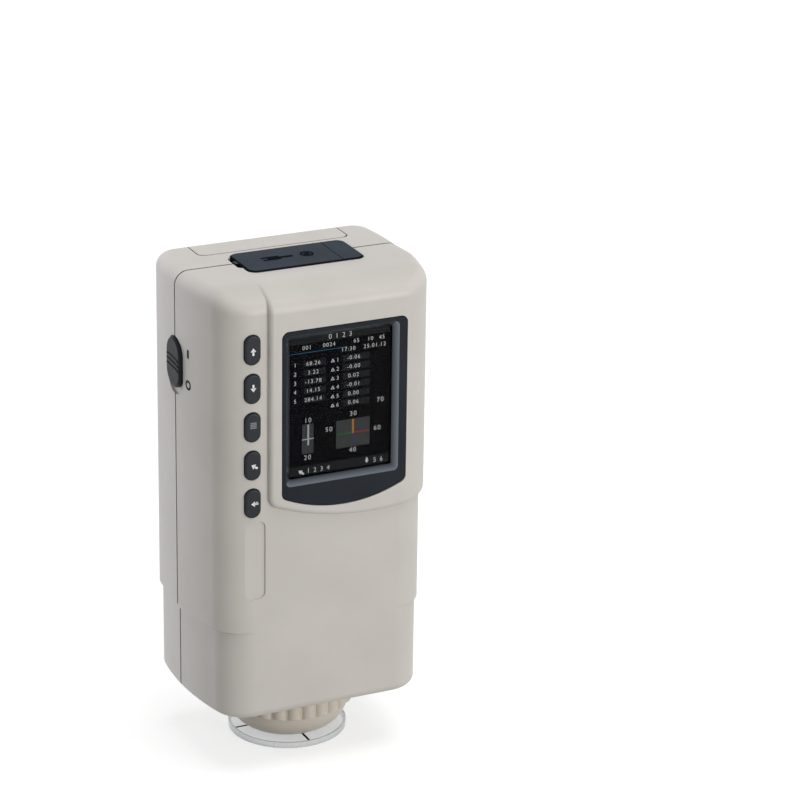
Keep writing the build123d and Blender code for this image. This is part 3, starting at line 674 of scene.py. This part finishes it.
PLOT_TOP = 36.6
PLOT_SIZE = (14.3, 11.6)
AXIS_HALF_W = 0.4
AXIS_HALF_H = 0.28


def picture_origin():
    """Top left corner of the picture and the depth of the panel's face, in millimetres."""
    low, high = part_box("lcd_panel")
    middle_x = (low[0] + high[0]) / 2 / MM
    middle_z = (low[2] + high[2]) / 2 / MM
    return middle_x - PICTURE_W / 2, low[1] / MM, middle_z + PICTURE_H / 2


def picture_place(obj, right, down, layer=1, turn=0.0):
    """Put a flat shape on the picture, right and down from its top left corner."""
    left, face_y, top = picture_origin()
    return place_front(obj, left + right, face_y - layer * PICTURE_STEP, top - down, turn)


def picture_bar(left, top, right, bottom, layer=1):
    """Bar on the picture between its left, top, right and lower edges."""
    bar = flat_bar((right - left) * MM, (bottom - top) * MM, PICTURE_STEP * MM)
    return picture_place(bar, (left + right) / 2, (top + bottom) / 2, layer)


def picture_text(text, right, down, size=SMALL_TEXT):
    """Widely set figures centred on a place of the picture."""
    return picture_place(figures(text, size * MM, PICTURE_STEP * MM, TEXT_SPACING), right, down, 2)


def heading_figures():
    """Plain numbers of the two heading lines."""
    lines = (
        ("0 1 2 3", 21.6, 1.4, 2.9),
        ("001", 7.6, 4.6, SMALL_TEXT),
        ("0024", 16.9, 4.6, SMALL_TEXT),
        ("65", 28.4, 4.6, SMALL_TEXT),
        ("10", 34.3, 4.6, SMALL_TEXT),
        ("45", 39.2, 4.6, SMALL_TEXT),
        ("17:30", 25.0, 7.5, SMALL_TEXT),
        ("25.01.12", 36.2, 7.5, SMALL_TEXT),
    )
    return [picture_text(text, right, down, size) for text, right, down, size in lines]


def reading_figures():
    """The two columns of readings."""
    height = PICTURE_STEP * MM
    parts = []
    for row, value in enumerate(READINGS):
        down = FIRST_ROW + row * ROW_PITCH
        parts.append(picture_text(str(row + 1), READING_NUMBER, down))
        parts.append(picture_text(value, READING_VALUE, down))
    for row, value in enumerate(DIFFERENCES):
        down = FIRST_ROW + row * ROW_PITCH
        triangle = ring_mark(TRIANGLE_R * MM, TRIANGLE_STROKE * MM, height, 3)
        parts.append(picture_place(triangle, DIFFERENCE_SIGN, down + 0.3, 2))
        parts.append(picture_text(str(row + 1), DIFFERENCE_NUMBER, down + 0.2))
        parts.append(picture_text(value, DIFFERENCE_VALUE, down))
    return parts


def dark_fields():
    """Dark grey fields behind the two columns and the two bands at the picture's ends."""
    fields = []
    for edges, values, above, below in (
        (DIFFERENCE_FIELD, DIFFERENCES, 1.4, 1.3),
        (READING_FIELD, READINGS, 1.3, 1.2),
    ):
        for row in range(len(values)):
            down = FIRST_ROW + row * ROW_PITCH
            fields.append(picture_bar(edges[0], down - above, edges[1], down + below))
    for band in (KEY_BAND, HEADING_BAND):
        fields.append(picture_bar(BAND_EDGES[0], band[0], BAND_EDGES[1], band[1]))
    return fields


def label_figures():
    """Plain numbers round the scale and the plot, beside the readings and along the foot."""
    scale_ends = ((8.1, 34.5), (8.0, 49.9))
    plot_sides = ((27.3, 34.5), (27.2, 49.6), (17.0, 39.6), (37.6, 42.0))
    verdict = (38.8, 30.4)
    parts = []
    for index, (right, down) in enumerate((*scale_ends, *plot_sides, verdict)):
        parts.append(picture_text(str(10 * (index + 1)), right, down, LABEL_TEXT))
    for step in range(4):
        parts.append(picture_text(str(step + 1), 8.4 + step * 2.8, 55.5, LABEL_TEXT))
    for step in range(2):
        parts.append(picture_text(str(step + 5), 36.7 + step * 2.8, 55.4, LABEL_TEXT))
    return parts


class COLORIMETER_OT_picture(bpy.types.Operator):
    """Build the lit picture on the display"""

    bl_idname = "colorimeter.picture"
    bl_label = "Display picture"

    def execute(self, context):
        glow = context.scene.colorimeter.screen_glow
        height = PICTURE_STEP * MM
        text = heading_figures() + reading_figures()
        text.append(picture_place(arrow(2.9 * MM, 1.9 * MM, height), 5.0, 55.4, 2, math.radians(52)))
        text.append(picture_place(arrow(2.3 * MM, 1.7 * MM, height), 33.3, 55.3, 2, math.radians(180)))
        settle(join(text), "picture_figures", lit_pixels("lit_white", "#C6CAC9", glow), "housing")
        labels = join(label_figures())
        settle(labels, "picture_labels", lit_pixels("lit_pale_grey", "#B9BCBB", glow), "housing")
        fields = join(dark_fields())
        settle(fields, "picture_fields", lit_pixels("lit_dark_grey", "#1A1C1D", glow), "housing")
        self.scale_bar(glow)
        self.plot(glow)
        line = picture_bar(*HEADING_LINE)
        settle(line, "picture_heading_line", lit_pixels("lit_blue", "#2A5878", glow), "housing")
        return {"FINISHED"}

    def scale_bar(self, glow):
        """Upright scale with a pointer."""
        left, right = SCALE_EDGES
        halves = [picture_bar(left, 36.0, right, 41.9), picture_bar(left, 42.5, right, 48.2)]
        settle(join(halves), "picture_scale", lit_pixels("lit_mid_grey", "#393B3B", glow), "housing")
        upright = picture_bar(7.95, 36.2, 8.65, 44.8, 2)
        marks = [upright, picture_bar(left - 0.1, 42.0, right + 0.1, 42.4, 2)]
        settle(join(marks), "picture_pointer", lit_pixels("lit_pale", "#9DA09F", glow), "housing")

    def plot(self, glow):
        """Grey square with four coloured axes."""
        width, depth = PLOT_SIZE
        right = PLOT_LEFT + width
        bottom = PLOT_TOP + depth
        middle = PLOT_LEFT + width / 2
        level = PLOT_TOP + depth / 2
        square = picture_bar(PLOT_LEFT, PLOT_TOP, right, bottom)
        settle(square, "picture_plot", lit_pixels("lit_grey", "#393B3B", glow), "housing")
        inner_left = middle - AXIS_HALF_W
        inner_right = middle + AXIS_HALF_W
        above = level - AXIS_HALF_H
        below = level + AXIS_HALF_H
        axes = (
            ("up", "#9C6A2C", (inner_left, PLOT_TOP + 0.2, inner_right, below)),
            ("right", "#7E2E38", (inner_right, above, right - 0.2, below)),
            ("left", "#2B5632", (PLOT_LEFT + 0.2, above, inner_left, below)),
            ("down", "#353A5E", (inner_left, below, inner_right, bottom - 2.2)),
        )
        for name, colour, edges in axes:
            bar = picture_bar(*edges, 2)
            settle(bar, "picture_" + name + "_axis", lit_pixels("lit_axis_" + name, colour, glow), "housing")


# How far a printed or raised sign sinks into the face that carries it, in millimetres.
SINK = 0.01


def key_centre(node):
    """Middle of a key's face, in millimetres."""
    low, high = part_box(node)
    return (low[0] + high[0]) / 2 / MM, low[1] / MM, (low[2] + high[2]) / 2 / MM


class COLORIMETER_OT_key_signs(bpy.types.Operator):
    """Print the signs on the five keys"""

    bl_idname = "colorimeter.key_signs"
    bl_label = "Key signs"

    def execute(self, context):
        look = context.scene.colorimeter
        height = look.print_height
        length = look.key_sign
        white = print_ink("white_key_ink", "#EDEFF0")
        grey = print_ink("grey_key_ink", "#8D9298")
        turns = {"key_up": 0, "key_down": 180, "key_back": 58, "key_enter": 90}
        for node in KEY_NODES:
            x, y, z = key_centre(node)
            if node == "key_menu":
                sign = self.list_sign(length, height)
            else:
                sign = arrow(length, length * 0.75, height)
            place_front(sign, x, y + SINK, z, math.radians(turns.get(node, 0)))
            if node == "key_enter":
                tail = flat_bar(0.5 * MM, 0.9 * MM, height)
                place_front(tail, x + 1.4, y + SINK, z + 0.4)
                sign = join([sign, tail])
            settle(sign, node + "_sign", grey if node == "key_menu" else white, node + "_body")
        return {"FINISHED"}

    def list_sign(self, length, height):
        """Four lines stacked in a square block, standing for a list."""
        first = flat_bar(length * 0.85, length * 0.13, height)
        lines = [first, *(copy_of(first) for _ in range(3))]
        for row, line in enumerate(lines):
            line.location.y = (row - 1.5) * length * 0.22
        return join(lines)


# The marks beside the slider lie on a bowed wall of 126 mm radius, widest 2.3 mm behind the middle.
MARK_Y = -12.2
ON_MARK_Z = 172.0
OFF_MARK_Z = 159.2
ON_MARK_SIZE = (1.5, 3.5)
OFF_MARK_R = 2.1
OFF_MARK_STROKE = 1.0
SIDE_BOW_R = 126.0
WIDEST_Y = 2.3


def wall_drop(y):
    """How far the bowed side lies inside its widest place at one depth."""
    return SIDE_BOW_R - math.sqrt(SIDE_BOW_R**2 - (y - WIDEST_Y) ** 2)


class COLORIMETER_OT_switch_marks(bpy.types.Operator):
    """Print the on and off marks beside the power slider"""

    bl_idname = "colorimeter.switch_marks"
    bl_label = "Switch marks"

    def execute(self, context):
        height = context.scene.colorimeter.print_height
        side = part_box("rear_housing")[0][0]
        wall = side / MM + wall_drop(MARK_Y)
        lean = math.asin((WIDEST_Y - MARK_Y) / SIDE_BOW_R)
        dark = print_ink("dark_shell_ink", "#1D1F22")
        bar = flat_bar(ON_MARK_SIZE[0] * MM, ON_MARK_SIZE[1] * MM, height)
        ring = ring_mark(OFF_MARK_R * MM, OFF_MARK_STROKE * MM, height)
        on_mark = place_left(bar, wall, MARK_Y, ON_MARK_Z, lean)
        off_mark = place_left(ring, wall, MARK_Y, OFF_MARK_Z, lean)
        settle(on_mark, "on_mark", dark, "housing")
        settle(off_mark, "off_mark", dark, "housing")
        return {"FINISHED"}


# The slider's knob, how deep it sits in its track, its ribs, which rise a little towards the front,
# and its stem.
KNOB_W = 13.6
KNOB_H = 20.6
KNOB_EDGE = 1.0
KNOB_SINK = 0.95
RIB_W = 0.9
RIB_LENGTH = KNOB_W - 2.2
RIB_DEPTH = 1.0
RIB_EDGE = 0.3
RIB_PITCH = 2.0
RIB_PROUD = 0.35
RIB_RISE = 3.5
STEM_SIZE = (2.4, 5.0)
STEM_OVERLAP = 0.2


def oval_block(width, length, depth, edge):
    """Upright block with round ends, flat on XY, its upper rim rounded. Sizes in millimetres."""
    bpy.ops.object.select_all(action="DESELECT")
    bpy.ops.mesh.primitive_circle_add(vertices=64, radius=width / 2 * MM, fill_type="NGON")
    block = bpy.context.object
    half = (length - width) / 2 * MM
    bpy.ops.object.mode_set(mode="EDIT")
    for way in (-1, 1):
        bpy.ops.mesh.select_all(action="DESELECT")
        bpy.ops.object.mode_set(mode="OBJECT")
        for corner in block.data.vertices:
            corner.select = corner.co.y * way > TOUCH
        bpy.ops.object.mode_set(mode="EDIT")
        bpy.ops.transform.translate(value=(0, way * half, 0))
    bpy.ops.object.mode_set(mode="OBJECT")
    raised(block, depth * MM)
    bpy.ops.object.mode_set(mode="EDIT")
    bpy.ops.mesh.select_mode(type="EDGE")
    bpy.ops.mesh.select_all(action="DESELECT")
    bpy.ops.object.mode_set(mode="OBJECT")
    corners = block.data.vertices
    for rim in block.data.edges:
        rim.select = all(corners[index].co.z > depth * MM - TOUCH for index in rim.vertices)
    bpy.ops.object.mode_set(mode="EDIT")
    bpy.ops.mesh.bevel(offset=edge * MM, segments=5, profile=0.5)
    bpy.ops.mesh.select_mode(type="VERT")
    bpy.ops.object.mode_set(mode="OBJECT")
    return block


class COLORIMETER_OT_slider_knob(bpy.types.Operator):
    """Build the power slider's knob with its three ribs and its stem"""

    bl_idname = "colorimeter.slider_knob"
    bl_label = "Slider knob"

    def execute(self, context):
        low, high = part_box("power_slider")
        face = low[0] / MM + RIB_PROUD
        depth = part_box("rear_housing")[0][0] / MM + KNOB_SINK - face
        middle_y = (low[1] + high[1]) / 2 / MM
        middle_z = (low[2] + high[2]) / 2 / MM
        block = oval_block(KNOB_W, KNOB_H, depth, KNOB_EDGE)
        rib = oval_block(RIB_W, RIB_LENGTH, RIB_DEPTH, RIB_EDGE)
        ribs = [rib, copy_of(rib), copy_of(rib)]
        for row, rib in enumerate(ribs):
            rib.rotation_euler.z = math.radians(90 - RIB_RISE)
            rib.location = (0, (row - 1) * RIB_PITCH * MM, (depth - RIB_DEPTH + RIB_PROUD) * MM)
        stem_length = high[0] / MM - face - depth + STEM_OVERLAP
        stem = flat_bar(STEM_SIZE[0] * MM, STEM_SIZE[1] * MM, stem_length * MM)
        stem.location.z = (STEM_OVERLAP - stem_length) * MM
        knob = place_left(join([block, *ribs, stem]), face + depth, middle_y, middle_z)
        settle(knob, "slider_knob", bpy.data.materials["slate_abs"], "slider")
        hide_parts("power_slider")
        return {"FINISHED"}


# The raised signs on the flap: how far they stand up and how far their middles lie from the flap's middle.
SIGN_PROUD = 0.12
SIGN_OFFSET = 7.0


class COLORIMETER_OT_flap_signs(bpy.types.Operator):
    """Raise two plain socket signs on the flap"""

    bl_idname = "colorimeter.flap_signs"
    bl_label = "Flap signs"

    def execute(self, context):
        low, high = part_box("port_cover")
        middle_y = (low[1] + high[1]) / 2
        base = high[2] - SINK * MM
        dark = print_ink("dark_relief", "#171B21", 0.0)
        plug = self.plug_sign(SIGN_PROUD * MM)
        plug.location = (-SIGN_OFFSET * MM, middle_y, base)
        settle(plug, "data_socket_sign", dark, "socket_flap")
        rings = self.ring_sign(SIGN_PROUD * MM)
        rings.location = (SIGN_OFFSET * MM, middle_y, base)
        settle(rings, "charge_socket_sign", dark, "socket_flap")
        return {"FINISHED"}

    def plug_sign(self, height):
        """Plain plug with two prongs and a cable end, lying along the flap."""
        plug = flat_bar(4.0 * MM, 5.0 * MM, height)
        stem = flat_bar(1.6 * MM, 6.0 * MM, height)
        stem.location.y = -5.0 * MM
        left_prong = flat_bar(1.2 * MM, 2.6 * MM, height)
        left_prong.location = (-1.3 * MM, 3.5 * MM, 0)
        right_prong = copy_of(left_prong)
        right_prong.location.x = 1.3 * MM
        sign = join([plug, stem, left_prong, right_prong])
        sign.rotation_euler.z = math.radians(90)
        return sign

    def ring_sign(self, height):
        """Ring inside a ring, for a round socket."""
        outer = ring_mark(2.8 * MM, 0.9 * MM, height)
        inner = ring_mark(1.3 * MM, 1.1 * MM, height)
        return join([outer, inner])


# The four aiming lines on the ring plate: middle radius, size and the plate's upper face.
LINE_COUNT = 4
LINE_R = 18.4
LINE_W = 1.0
LINE_LENGTH = 8.6
PLATE_TOP = 2.0


class COLORIMETER_OT_plate_lines(bpy.types.Operator):
    """Print the aiming lines on the ring plate"""

    bl_idname = "colorimeter.plate_lines"
    bl_label = "Plate lines"

    def execute(self, context):
        black = print_ink("black_plate_ink", "#0C0D0F")
        top = (PLATE_TOP - SINK) * MM
        first = flat_bar(LINE_W * MM, LINE_LENGTH * MM, context.scene.colorimeter.print_height)
        lines = [first, *(copy_of(first) for _ in range(LINE_COUNT - 1))]
        for index, line in enumerate(lines):
            turn = math.tau * index / LINE_COUNT
            line.rotation_euler.z = turn
            line.location = (-math.sin(turn) * LINE_R * MM, math.cos(turn) * LINE_R * MM, top)
        settle(join(lines), "plate_lines", black, "locating_ring")
        return {"FINISHED"}


# Studio

# White that the floor adds for the camera, and the even light from all round.
FLOOR_LIFT = 0.66
SURROUND = 0.46

# The camera that matches the photograph's view: angles in degrees, place in metres.
CAMERA_TURN = -25.459
CAMERA_RISE = 21.033
CAMERA_ROLL = 0.841
CAMERA_PLACE = (-0.5098, -1.1744, 0.6344)


def camera_matrix():
    """World matrix of the camera from its turn, rise and roll."""
    turn = math.radians(CAMERA_TURN)
    rise = math.radians(CAMERA_RISE)
    roll = math.radians(CAMERA_ROLL)
    back = Vector((math.sin(turn) * math.cos(rise), -math.cos(turn) * math.cos(rise), math.sin(rise)))
    level = Vector((math.cos(turn), math.sin(turn), 0.0))
    upright = back.cross(level)
    right = level * math.cos(roll) + upright * math.sin(roll)
    up = upright * math.cos(roll) - level * math.sin(roll)
    turned = Matrix((right, up, back)).transposed().to_4x4()
    return Matrix.Translation(CAMERA_PLACE) @ turned


def aim(lamp, place, target):
    """Put a lamp at a place and point it at a target."""
    lamp.location = place
    way = Vector(target) - Vector(place)
    lamp.rotation_euler = way.to_track_quat("-Z", "Y").to_euler()


def broad_light(name, place, strength, spread_deg, colour, shines=True):
    """Even light from one direction, as soft as a large studio panel."""
    bpy.ops.object.light_add(type="SUN")
    lamp = bpy.context.object
    lamp.name = name
    lamp.visible_glossy = shines
    lamp.data.energy = strength * math.pi
    lamp.data.angle = math.radians(spread_deg)
    lamp.data.color = linear(colour)[:3]
    aim(lamp, place, (0.0, 0.0, 0.0))
    return lamp


def panel_light(name, place, target, size, power, colour):
    """Small square panel that lifts one region."""
    bpy.ops.object.light_add(type="AREA")
    lamp = bpy.context.object
    lamp.name = name
    lamp.data.shape = "SQUARE"
    lamp.data.size = size
    lamp.data.energy = power
    lamp.data.color = linear(colour)[:3]
    aim(lamp, place, target)
    return lamp


def white_seen(tree):
    """1 for rays that show the background: straight, mirrored or through clear plastic."""
    path = add(tree, "ShaderNodeLightPath")
    mirrored = add(
        tree, "ShaderNodeMath",
        {0: path.outputs["Is Glossy Ray"], 1: path.outputs["Is Transmission Ray"]}, operation="MAXIMUM")
    seen = add(
        tree, "ShaderNodeMath",
        {0: path.outputs["Is Camera Ray"], 1: mirrored.outputs["Value"]}, operation="MAXIMUM")
    return seen.outputs["Value"]


def floor_material():
    """Pale matt floor that looks white and keeps the object's shadow."""
    material, tree, shader = new_material("pale_floor")
    cloud = object_noise(tree, 400.0, 2.0)
    tree.links.new(tint(tree, cloud, "#AAAAA9", "#AEAEAD"), shader.inputs["Base Color"])
    shader.inputs["Roughness"].default_value = 0.9
    shader.inputs["Specular IOR Level"].default_value = 0.1
    shader.inputs["Emission Color"].default_value = linear("#FFFFFF")
    lift = add(tree, "ShaderNodeMapRange", {"Value": white_seen(tree), "To Min": 0.0, "To Max": FLOOR_LIFT})
    tree.links.new(lift.outputs["Result"], shader.inputs["Emission Strength"])
    return material


def white_world():
    """World that looks white and lights the object evenly from all round."""
    world = bpy.data.worlds.new("studio")
    bpy.context.scene.world = world
    world.use_nodes = True
    tree = world.node_tree
    tree.nodes.clear()
    strength = add(
        tree, "ShaderNodeMapRange", {"Value": white_seen(tree), "To Min": SURROUND, "To Max": 1.0})
    background = add(
        tree, "ShaderNodeBackground",
        {"Color": linear("#FFFFFF"), "Strength": strength.outputs["Result"]})
    add(tree, "ShaderNodeOutputWorld", {"Surface": background.outputs["Background"]})


class COLORIMETER_OT_studio(bpy.types.Operator):
    """Build the floor, the lights and the camera"""

    bl_idname = "colorimeter.studio"
    bl_label = "Studio"

    def execute(self, context):
        bpy.ops.object.select_all(action="DESELECT")
        bpy.ops.mesh.primitive_plane_add(size=12.0)
        floor = context.object
        floor.name = "floor"
        floor.data.materials.append(floor_material())
        white_world()
        broad_light("top_light", (0.15, -0.1, 1.0), 0.47, 40.0, "#FFFFFF", shines=False)
        broad_light("front_light", (0.3, -0.9, 0.12), 0.19, 25.0, "#FFFAF4")
        broad_light("back_light", (-0.35, 0.94, 0.06), 1.1, 25.0, "#ECEFFC", shines=False)
        panel_light("cowl_light", (0.3, -0.55, 0.22), (0.01, -0.04, 0.18), 0.2, 1.0, "#FFFFFF")
        bpy.ops.object.camera_add()
        camera = context.object
        camera.name = "photo_camera"
        camera.matrix_world = camera_matrix()
        camera.data.sensor_width = 36.0
        camera.data.lens = context.scene.colorimeter.lens
        camera.data.clip_start = 0.05
        context.scene.camera = camera
        context.scene.view_settings.view_transform = "Standard"
        return {"FINISHED"}


OPERATORS = (
    COLORIMETER_OT_finishes,
    COLORIMETER_OT_picture,
    COLORIMETER_OT_key_signs,
    COLORIMETER_OT_switch_marks,
    COLORIMETER_OT_slider_knob,
    COLORIMETER_OT_flap_signs,
    COLORIMETER_OT_plate_lines,
    COLORIMETER_OT_studio,
)


class COLORIMETER_PT_panel(bpy.types.Panel):
    """Panel with the settings and one button for each group of pieces"""

    bl_idname = "COLORIMETER_PT_panel"
    bl_label = "Colorimeter"
    bl_space_type = "VIEW_3D"
    bl_region_type = "UI"
    bl_category = "Colorimeter"

    def draw(self, context):
        look = context.scene.colorimeter
        for name in ("shell_dark", "shell_light", "print_height", "key_sign", "screen_glow", "lens"):
            self.layout.prop(look, name)
        for operator in OPERATORS:
            self.layout.operator(operator.bl_idname)


CLASSES = (ColorimeterLook, *OPERATORS, COLORIMETER_PT_panel)


def register():
    """Register the classes and the settings."""
    for cls in CLASSES:
        bpy.utils.register_class(cls)
    bpy.types.Scene.colorimeter = bpy.props.PointerProperty(type=ColorimeterLook)


def unregister():
    """Remove the settings and the classes."""
    del bpy.types.Scene.colorimeter
    for cls in reversed(CLASSES):
        bpy.utils.unregister_class(cls)


def main():
    """Build everything in order."""
    register()
    bpy.ops.colorimeter.finishes()
    bpy.ops.colorimeter.picture()
    bpy.ops.colorimeter.key_signs()
    bpy.ops.colorimeter.switch_marks()
    bpy.ops.colorimeter.slider_knob()
    bpy.ops.colorimeter.flap_signs()
    bpy.ops.colorimeter.plate_lines()
    bpy.ops.colorimeter.studio()


if __name__ == "__main__":
    main()
